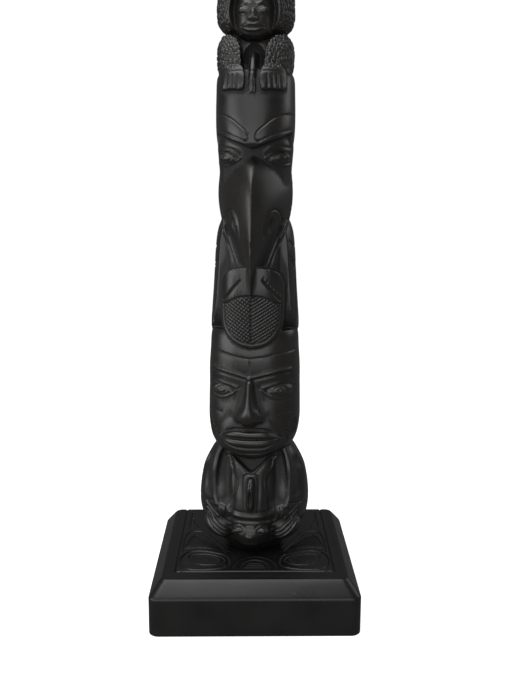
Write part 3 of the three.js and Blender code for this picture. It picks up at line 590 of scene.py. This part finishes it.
def carveRaven(at, normal):
    score = partial(scored, at, normal)
    # the brow panel: one long closed leaf on each side of the middle
    score([(19.4, 244.4), (17, 244), (13, 243), (9, 241), (5.7, 238.3), (3, 236), (1.9, 234.2),
           (1.8, 232.4), (3, 231)], 0.36, 0.55, reach=(-30, -2))
    score([(3, 231), (6, 232.4), (10, 234.2), (14, 235.8), (18.6, 237.6)], 0.36, 0.45,
          reach=(-30, -2))
    # eyelids and the crease behind them
    lidTop = [(6, 224.4), (9, 226.4), (13, 227.6), (17.4, 228)]
    lidBelow = [(6, 223.8), (9, 222), (12.6, 220.7), (16.4, 221.2), (18.2, 222.6)]
    score(lidTop, 0.55, -0.45, reach=(-22, -2))
    score(lidBelow, 0.5, -0.4, reach=(-22, -2))
    score([(x, z + 1.4) for x, z in lidTop], 0.45, 0.4, reach=(-22, -2))
    score([(10.4, 223.9), (12.4, 225.4), (15, 225.2), (15.8, 223.8), (14.2, 222.4), (11.8, 222.6)],
          0.32, 0.35, closed=True, reach=(-22, -2))
    # beak: nostril arches with a pitted field, the cutting edges, and the crease at the root
    arch = [(12.8, 187.4), (13.9, 193.6), (13, 198.6), (10.6, 200.2), (8, 198.4), (6.5, 193.8),
            (5.9, 187.4)]
    score(arch, 0.42, 0.6, reach=(-30, -8))
    score([(x + (0.9 if x < 10 else -0.9), z - 0.8) for x, z in arch[1:6]], 0.35, -0.3,
          reach=(-30, -8))
    score([(17.6, 202), (15.4, 195.8), (12.6, 189), (9.4, 181.4), (6.6, 174.6)], 0.4, 0.7,
          reach=(-30, -6))
    score([(16.4, 193.6), (13.6, 186.4), (10.4, 179), (8, 172.4)], 0.4, 0.6, reach=(-22, -4))
    # the edge of the crown
    score([(0, 262.4), (12, 262.4), (19, 262)], 0.35, 0.3, reach=(-30, -2))


def carveSmallFigure(at, normal):
    score = partial(scored, at, normal)
    for x in (7.2, 9.7, 12.2):
        score([(x, 254.4), (x, 258), (x - 0.3, 261)], 0.34, 0.5, reach=(-26, -14))
    for x in (5.6, 8.2, 11, 13.6):
        score([(x, 255), (x, 256.4)], 0.6, -0.3, reach=(-26, -14))
    for x in (0.8, 1.9):
        score([(x, 253.6), (x, 256), (x * 0.8, 259.6)], 0.3, 0.4, reach=(-26, -16))
    score([(2.1, 289.5), (4.2, 291), (7, 289.9), (7.2, 289.2), (4.6, 287.6)], 0.3, -0.3,
          closed=True, reach=(-20, -10))
    score([(4, 289.4), (5.2, 289.4)], 0.5, 0.3, reach=(-20, -10))
    score([(0, 282.1), (2.4, 282), (5.4, 282.4)], 0.28, 0.5, reach=(-20, -12))
    score([(2.8, 287), (3.4, 285.2), (5.8, 283.4)], 0.6, 0.15, reach=(-20, -11))
    score([(0, 279.6), (2.6, 279.8), (4.6, 280.8)], 0.45, 0.2, reach=(-20, -11))


# short tufts: cells drawn out downwards, domed in their middles, with creases between
def furred(at, normal, amount, pitch, height, seed):
    picked = np.nonzero(amount > 0.01)[0]
    spots = at[picked] * [1, 1, 0.62]      # flattened, so that the tufts come out longer than wide
    random.seed(seed)
    roots, order = [], list(range(len(spots)))
    random.shuffle(order)
    taken = {}
    around = [(a, b, c) for a in (-1, 0, 1) for b in (-1, 0, 1) for c in (-1, 0, 1)]
    for i in order:
        key = tuple((spots[i] // pitch).astype(int))
        near = [taken.get((key[0] + a, key[1] + b, key[2] + c)) for a, b, c in around]
        if all(other is None or np.sum((spots[i] - other) ** 2) > pitch ** 2 * 0.8
               for other in near):
            taken[key] = spots[i]
            roots.append(spots[i])
    chosen = kdtree.KDTree(len(roots))
    for i, root in enumerate(roots):
        chosen.insert(root, i)
    chosen.balance()
    lift = [random.uniform(0.6, 1.3) for _ in roots]
    for i, spot in zip(picked, spots):
        (_, nearest, first), (_, _, second) = chosen.find_n(spot, 2)
        crease = min((second - first) / (pitch * 0.55), 1)
        dome = crease * (2 - crease)
        at[i] += normal[i] * (amount[i] * height * (dome * lift[nearest] - 0.55))


def furAmount(at, normal):
    side, y, z = np.abs(at[:, 0]), at[:, 1], at[:, 2]
    hollow = ((side / 12.2) ** 2 + ((z - 288.6) / 15) ** 2 < 1) & (y < -4)
    hood = eased(z, 279.6, 282) * ~hollow
    legs = eased(z, 263.4, 265) * (1 - eased(z, 279.6, 281.6)) * eased(side, 4.6, 6.4)
    return np.maximum(hood, legs)


def carvedPole():
    print("pole: masses")
    masses = crouchingBody() + largeFace() + tailShield() + foldedWings()
    masses += ravenHead() + smallFigure()
    whole = meshFrom(gathered(masses))
    print("pole: joined and evened", len(whole.vertices))
    factor, rounds = pole["evening"]
    fine = finishedBy(whole, ("REMESH", {"mode": "VOXEL", "voxel_size": pole["grain"]}),
                      ("SMOOTH", {"factor": factor, "iterations": rounds}))
    at, normal = readClay(fine)
    print("pole: carving", len(at))
    for carve in (carveBody, carveTail, carveWings, carveRaven, carveSmallFigure):
        carve(at, normal)
    # the face is carved looking straight ahead, and turned again
    back = np.array(faceTurn.to_3x3())
    at, normal = at @ back, normal @ back
    carveFace(at, normal)
    at, normal = at @ back.T, normal @ back.T
    furred(at, normal, furAmount(at, normal), pole["tuft"], pole["tuftHeight"], pole["seed"])
    writeClay(fine, at)
    factor, rounds = pole["polish"]
    fine = finishedBy(fine, ("SMOOTH", {"factor": factor, "iterations": rounds}))
    count = sum(len(face.vertices) - 2 for face in fine.polygons)
    fine = finishedBy(fine, ("DECIMATE", {"ratio": min(1.0, pole["faces"] / count),
                                          "use_collapse_triangulate": True}))
    print("pole: thinned", len(fine.polygons))
    # cut level at the foot, turned on the base and brought to real size
    flat = bmesh.new()
    flat.from_mesh(fine)
    bmesh.ops.bisect_plane(flat, geom=flat.verts[:] + flat.edges[:] + flat.faces[:],
                           plane_co=(0, 0, pole["foot"]), plane_no=(0, 0, -1), clear_outer=True)
    bmesh.ops.holes_fill(flat, edges=[edge for edge in flat.edges if edge.is_boundary])
    turn = Matrix.Rotation(math.radians(pole["turn"]), 3, "Z")
    bmesh.ops.rotate(flat, matrix=turn, verts=flat.verts)
    bmesh.ops.scale(flat, vec=(mm, mm, mm), verts=flat.verts)
    for face in flat.faces:
        face.smooth = True
    return meshFrom(flat, "totemPole")


# the base is one grid: its inner rings are the carved top, its outer rings go down the sides
plinth = {
    "top": 26.5,
    "topRings": 136,           # rings of the grid on the flat top
    "topHalf": 44.6,
    "corner": 3.5,
    "borderSide": 38.7,        # the border is a line on three sides, open at the back
    "borderFront": -36.3,
    "borderBack": 48,
    "lineWidth": 0.42,
    "lineDepth": 0.85,
    "hatch": 0.3,              # depth of the fine slanting cuts
    "hatchPitch": 1.5,
    "relief": (14, 3.2),
}
# from the rim of the top to the underside: [half width, corner radius, height]
plinthProfile = [
    [44.85, 3.6, 26.44], [45.1, 3.7, 26.2], [46.2, 3.9, 24.9], [47.4, 4.1, 23.4], [48.55, 4.3, 21.9],
    [49.7, 4.5, 20.4], [50.4, 4.6, 19.4], [50.65, 4.6, 18.95], [50.77, 4.6, 18.5], [50.8, 4.6, 17.6],
    [50.8, 4.6, 15], [50.8, 4.6, 12], [50.8, 4.6, 9], [50.8, 4.6, 6], [50.8, 4.6, 3],
    [50.8, 4.6, 0.9], [50.7, 4.6, 0.4], [50.45, 4.6, 0.1], [50.1, 4.6, 0], [48.5, 4.6, 0],
]


def carveBase(at, normal):
    score = partial(scored, at, normal, view="top")
    line, deep = plinth["lineWidth"], plinth["lineDepth"]
    side, front = plinth["borderSide"], plinth["borderFront"]
    for border in ([(side, plinth["borderBack"]), (side, front)], [(0, front), (side, front)]):
        score(border, line * 1.1, deep)
    # the large ovoid eye in each front corner
    score([(13, -26.5), (14.8, -18.6), (20.3, -15.2), (28, -12.8), (34, -14.6), (37, -21.4),
           (36.4, -29.6), (32, -34), (22, -34.2), (15, -31.6)], line, deep, closed=True)
    score([(15.6, -24.6), (17.6, -19.8), (25.4, -16.6), (31.6, -17.4), (33, -21), (28.6, -28),
           (20.4, -28.8)], line * 0.9, deep * 0.8, closed=True)
    # bands behind it, past the pole, and split shapes behind them
    score([(13, -13.4), (20, -10.2), (28.4, -8.8), (35.8, -9.4)], line * 0.9, deep * 0.7)
    score([(14.4, -14.6), (21, -11.6), (28.6, -10.2), (35.4, -11.4)], line * 0.8, deep * -0.35)
    score([(36.8, -14), (37, -6), (36.9, 2), (35.8, 9), (33.4, 12.4), (28.8, 12.6)], line, deep)
    score([(35.8, -7), (34.8, -2), (33.6, 3.6), (31.2, 7.2)], line * 0.9, deep * 0.9)
    score([(26.5, 7), (21, -3), (16, -11.4)], line, deep * 0.9)
    score([(24.6, 9), (19, -1.6), (14.4, -9)], line * 0.9, deep * 0.7)
    score([(35.2, 40), (35.5, 18.5)], line, deep)
    score([(34.4, 31), (33, 24), (30.6, 18)], line, deep)
    # two arches in the middle of the front, the same behind, and short strokes under the front ones
    for reach in (11, 7):
        top = reach - 30.6
        arch = [(reach, -32.5), (reach * 0.92, top - reach * 0.8),
                (reach * 0.72, top - reach * 0.42), (reach * 0.4, top - reach * 0.12), (0, top)]
        score(arch, line, deep)
        score([(x, -y) for x, y in arch], line, deep)
    for y in (-32.6, -30.2, -27.9):
        score([(0, y), (3 - (y + 27.9) * 0.5, y)], line * 0.7, deep * 0.5)
    # fine slanting cuts in the bands and the eyes
    hatch = plinth["hatch"]
    slanted = rows(at[:, 1] * 0.92 + np.abs(at[:, 0]) * 0.4, plinth["hatchPitch"], 0.32)
    for outline in ([(17, -10.6), (27, -7), (34.6, -7), (33, 2), (30.4, 6), (26.6, 4), (22, -3)],
                    [(17.4, -24), (19.6, -20.4), (25.6, -18), (30.6, -18.6), (31.4, -21),
                     (27.8, -26.6), (21, -27.2)]):
        field = within(at, normal, outline, 0.6, view="top")
        pressed(at, normal, field * (slanted * hatch + 0.12))


def carvedBase():
    print("base: grid")
    inner, outer = plinth["topRings"], len(plinthProfile)
    total = inner + outer
    share = [ring / inner for ring in range(inner + 1)]
    half = np.array([plinth["topHalf"] * part for part in share] + [row[0] for row in plinthProfile])
    corner = np.array([plinth["corner"] * part for part in share] + [row[1] for row in plinthProfile])
    height = np.array([plinth["top"] for _ in share] + [row[2] for row in plinthProfile])
    form = bmesh.new()
    bmesh.ops.create_grid(form, x_segments=2 * total, y_segments=2 * total, size=1)
    flat = np.array([vert.co[:2] for vert in form.verts])
    # each ring of the grid becomes a square with rounded corners, its middle square and its arc
    ring = np.round(np.abs(flat).max(1) * total).astype(int)
    unit = flat / np.maximum(np.abs(flat).max(1), 1e-9)[:, None]
    straight = (half - corner)[ring][:, None]
    core = np.clip(unit * half[ring][:, None], -straight, straight)
    out = unit * half[ring][:, None] - core
    out *= (corner[ring] / np.maximum(np.linalg.norm(out, axis=1), 1e-9))[:, None]
    for vert, spot, z in zip(form.verts, core + out, height[ring]):
        vert.co = (*spot, z)
    bmesh.ops.holes_fill(form, edges=form.edges)
    bmesh.ops.recalc_face_normals(form, faces=form.faces)
    fine = meshFrom(form, "base")
    at, normal = readClay(fine)
    carveBase(at, normal)
    writeClay(fine, at * mm)
    fine.polygons.foreach_set("use_smooth", np.ones(len(fine.polygons), bool))
    return fine


# how hollow or proud the surface is round each spot, kept on the mesh for the finish to read: it
# paints shade into the hollows and makes them duller
def markRelief(mesh, reach, strength):
    at, normal = readClay(mesh)
    at = at / mm
    pairs = np.empty(len(mesh.edges) * 2, int)
    mesh.edges.foreach_get("vertices", pairs)
    first, second = pairs.reshape(-1, 2).T
    near = np.bincount(first, minlength=len(at)) + np.bincount(second, minlength=len(at))
    even = at.copy()
    for _ in range(reach):
        even = np.column_stack([np.bincount(first, even[second, axis], len(at))
                                + np.bincount(second, even[first, axis], len(at))
                                for axis in range(3)]) / near[:, None]
    hollow = np.sum((even - at) * normal, axis=1)
    relief = mesh.attributes.new("relief", "FLOAT", "POINT")
    relief.data.foreach_set("value", np.clip(0.5 + hollow * strength, 0, 1).astype(np.float32))


resinLook = {
    "clouds": (0.82, 1.22),        # darkest and lightest of the slight clouding
    "cloudRough": (-0.03, 0.05),   # how much it changes the roughness
    "paintedShadeFrom": (0.5, 0.8),        # relief values over which a hollow is painted darker, as painted shade
    "dullFrom": (0.35, 0.75),      # and over which it turns from polished to dull
    "polish": 0.05,                # how much smoother the ridges are
    "bump": 0.0002,                # height of the fine grain, in metres
    "dust": (0.16, 0.155, 0.145),
    "dustSize": (0.03, 0.075),     # full and faded radius of a speck, as a share of its cell
    "dustShare": (0.72, 0.85),     # only cells with a high random value have one
    "dustStrength": 0.6,
}


# a dark satin resin: slightly clouded, duller in the hollows and painted darker there as painted
# shade, polished on the ridges
def resin(name, finish):
    look = bpy.data.materials.new(name)
    look.use_nodes = True
    nodes, links = look.node_tree.nodes, look.node_tree.links
    shader = nodes["Principled BSDF"]
    shader.inputs["Specular IOR Level"].default_value = finish["shine"]
    place = nodes.new("ShaderNodeTexCoord")

    def noise(scale, detail):
        node = nodes.new("ShaderNodeTexNoise")
        node.inputs["Scale"].default_value = scale
        node.inputs["Detail"].default_value = detail
        links.new(place.outputs["Object"], node.inputs["Vector"])
        return node.outputs["Fac"]

    def ranged(value, given, wanted):
        node = nodes.new("ShaderNodeMapRange")
        for key, number in zip(("From Min", "From Max", "To Min", "To Max"), (*given, *wanted)):
            node.inputs[key].default_value = number
        links.new(value, node.inputs["Value"])
        return node.outputs["Result"]

    def reckoned(kind, one, other):
        node = nodes.new("ShaderNodeMath")
        node.operation = kind
        links.new(one, node.inputs[0])
        links.new(other, node.inputs[1])
        return node.outputs[0]

    def mixed(factor, one, other):
        node = nodes.new("ShaderNodeMix")
        node.data_type = "RGBA"
        node.clamp_factor = False
        links.new(factor, node.inputs["Factor"])
        for socket, value in zip((node.inputs[6], node.inputs[7]), (one, other)):
            if isinstance(value, tuple):
                socket.default_value = (*value, 1)
            else:
                links.new(value, socket)
        return node.outputs[2]

    relief = nodes.new("ShaderNodeAttribute")
    relief.attribute_name = "relief"
    hollow = relief.outputs["Fac"]
    clouds = noise(finish["clouds"], 4)
    middle = (0.3, 0.7)            # where most of the noise lies
    clouded = ranged(clouds, middle, resinLook["clouds"])
    # painted shade: the colour is darkened wherever the relief measure finds the surface hollow
    hollowShadeFactor = ranged(hollow, resinLook["paintedShadeFrom"], (1, finish["paintedHollowShade"]))
    colour = mixed(reckoned("MULTIPLY", clouded, hollowShadeFactor), (0, 0, 0), finish["colour"])
    if finish["specks"]:
        cells = nodes.new("ShaderNodeTexVoronoi")
        cells.inputs["Scale"].default_value = finish["specks"]
        links.new(place.outputs["Object"], cells.inputs["Vector"])
        split = nodes.new("ShaderNodeSeparateColor")
        links.new(cells.outputs["Color"], split.inputs["Color"])
        inSpeck = ranged(cells.outputs["Distance"], resinLook["dustSize"], (1, 0))
        picked = ranged(split.outputs[0], resinLook["dustShare"], (0, resinLook["dustStrength"]))
        colour = mixed(reckoned("MULTIPLY", inSpeck, picked), colour, resinLook["dust"])
    links.new(colour, shader.inputs["Base Color"])
    roughest = finish["rough"] + finish["hollowRough"]
    dull = ranged(hollow, resinLook["dullFrom"], (finish["rough"] - resinLook["polish"], roughest))
    uneven = ranged(clouds, middle, resinLook["cloudRough"])
    links.new(reckoned("ADD", dull, uneven), shader.inputs["Roughness"])
    bump = nodes.new("ShaderNodeBump")
    bump.inputs["Strength"].default_value = finish["grainDepth"]
    bump.inputs["Distance"].default_value = resinLook["bump"]
    links.new(noise(finish["grain"], 6), bump.inputs["Height"])
    links.new(bump.outputs["Normal"], shader.inputs["Normal"])
    return look


# gives a finished mesh its look and its place in the object
def placed(mesh, look, node):
    mesh.materials.clear()
    mesh.materials.append(look)
    piece = bpy.data.objects.new(mesh.name, mesh)
    bpy.context.scene.collection.objects.link(piece)
    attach(piece, "root")
    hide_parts(node)
    return piece


poleFinish = {
    "colour": (0.0062, 0.0053, 0.0049),
    "rough": 0.37,
    "shine": 0.62,
    "clouds": 90,              # scale of the clouding
    "grain": 1500,             # scale of the fine grain
    "grainDepth": 0.12,
    "paintedHollowShade": 0.35,        # painted shade: the colour the deepest hollows are painted, beside the open surface
    "hollowRough": 0.3,        # how much rougher they are
    "specks": 0,               # scale of the dust specks, none at 0
}
baseFinish = {
    "colour": (0.0056, 0.0055, 0.0053),
    "rough": 0.34,
    "shine": 0.42,
    "clouds": 60,
    "grain": 2200,
    "grainDepth": 0.09,
    # painted shade: the base's carved lines are painted darker still
    "paintedHollowShade": 0.15,
    "hollowRough": 0.3,
    "specks": 210,
}
poleMesh, baseMesh = carvedPole(), carvedBase()
print("finish: hollows measured, resin mixed")
markRelief(poleMesh, *pole["relief"])
markRelief(baseMesh, *plinth["relief"])
placed(poleMesh, resin("poleResin", poleFinish), "totem_pole")
placed(baseMesh, resin("baseResin", baseFinish), "base")

print("studio: floor, light and camera")
studio = {
    "floorSize": 6,
    "floorColour": (0.5, 0.5, 0.5),
    "floorGlow": 0.94,         # the floor is lit paper, as white as what is behind it
    "floorRough": 0.9,
    "backdrop": 1.02,          # how bright the paper behind looks
    "room": 0.12,              # how bright the dim room is that the piece reflects
    "lights": [                # name, place, what it points at, size, power
        ("overheadLight", (-0.25, -0.3, 1.1), (0, 0, 0.05), (1.2, 1.0), 11),
        ("leftLight", (-0.95, -0.45, 0.26), (0, 0, 0.1), (0.8, 0.6), 3.8),
        ("rightLight", (0.85, 0.25, 0.6), (0, 0, 0.15), (0.5, 0.6), 1.1),
        ("frontLight", (-0.2, -1.5, 0.35), (0, 0, 0.12), (1.8, 0.9), 8),
    ],
}
white = (1, 1, 1, 1)
bpy.context.scene.view_settings.view_transform = "Standard"

floorForm = bmesh.new()
bmesh.ops.create_grid(floorForm, x_segments=1, y_segments=1, size=studio["floorSize"])
floorMesh = meshFrom(floorForm, "floor")
floor = bpy.data.objects.new("floor", floorMesh)
bpy.context.scene.collection.objects.link(floor)
floorLook = bpy.data.materials.new("floorPaper")
floorLook.use_nodes = True
floorShader = floorLook.node_tree.nodes["Principled BSDF"]
floorShader.inputs["Base Color"].default_value = (*studio["floorColour"], 1)
floorShader.inputs["Emission Color"].default_value = white
floorShader.inputs["Emission Strength"].default_value = studio["floorGlow"]
floorShader.inputs["Roughness"].default_value = studio["floorRough"]
floorMesh.materials.append(floorLook)
floor.visible_glossy = False   # the piece mirrors the dim room instead of the bright paper

# white paper behind for the camera, a dim room for everything else
world = bpy.data.worlds.new("studio")
bpy.context.scene.world = world
world.use_nodes = True
nodes, links = world.node_tree.nodes, world.node_tree.links
room, paper = nodes["Background"], nodes.new("ShaderNodeBackground")
for light, strength in ((room, studio["room"]), (paper, studio["backdrop"])):
    light.inputs["Color"].default_value = white
    light.inputs["Strength"].default_value = strength
path = nodes.new("ShaderNodeLightPath")
blend = nodes.new("ShaderNodeMixShader")
links.new(path.outputs["Is Camera Ray"], blend.inputs[0])
links.new(room.outputs[0], blend.inputs[1])
links.new(paper.outputs[0], blend.inputs[2])
links.new(blend.outputs[0], nodes["World Output"].inputs["Surface"])

for name, spot, aim, size, power in studio["lights"]:
    lamp = bpy.data.lights.new(name, "AREA")
    lamp.shape = "RECTANGLE"
    lamp.size, lamp.size_y = size
    lamp.energy = power
    thing = bpy.data.objects.new(name, lamp)
    thing.location = spot
    thing.rotation_euler = (Vector(aim) - Vector(spot)).to_track_quat("-Z", "Y").to_euler()
    bpy.context.scene.collection.objects.link(thing)

stand = {
    "lens": 41.85,
    "place": (-0.0038, -0.4069, 0.2047),
    "pitch": 10.46,            # degrees down
    "yaw": -1.07,
    "roll": -0.31,
}
lens = bpy.data.cameras.new("camera")
lens.sensor_width = 36
lens.lens = stand["lens"]
lens.clip_start = 0.01
camera = bpy.data.objects.new("camera", lens)
pitch, yaw, roll = (math.radians(stand[key]) for key in ("pitch", "yaw", "roll"))
level = Vector((-math.sin(yaw), math.cos(yaw), 0))
ahead = level * math.cos(pitch) - Vector((0, 0, math.sin(pitch)))
across = ahead.cross(Vector((0, 0, 1))).normalized()
upward = across.cross(ahead)
sideways = across * math.cos(roll) - upward * math.sin(roll)
upright = across * math.sin(roll) + upward * math.cos(roll)
aimed = Matrix((sideways, upright, -ahead)).transposed().to_4x4()
camera.matrix_world = Matrix.Translation(stand["place"]) @ aimed
bpy.context.scene.collection.objects.link(camera)
bpy.context.scene.camera = camera
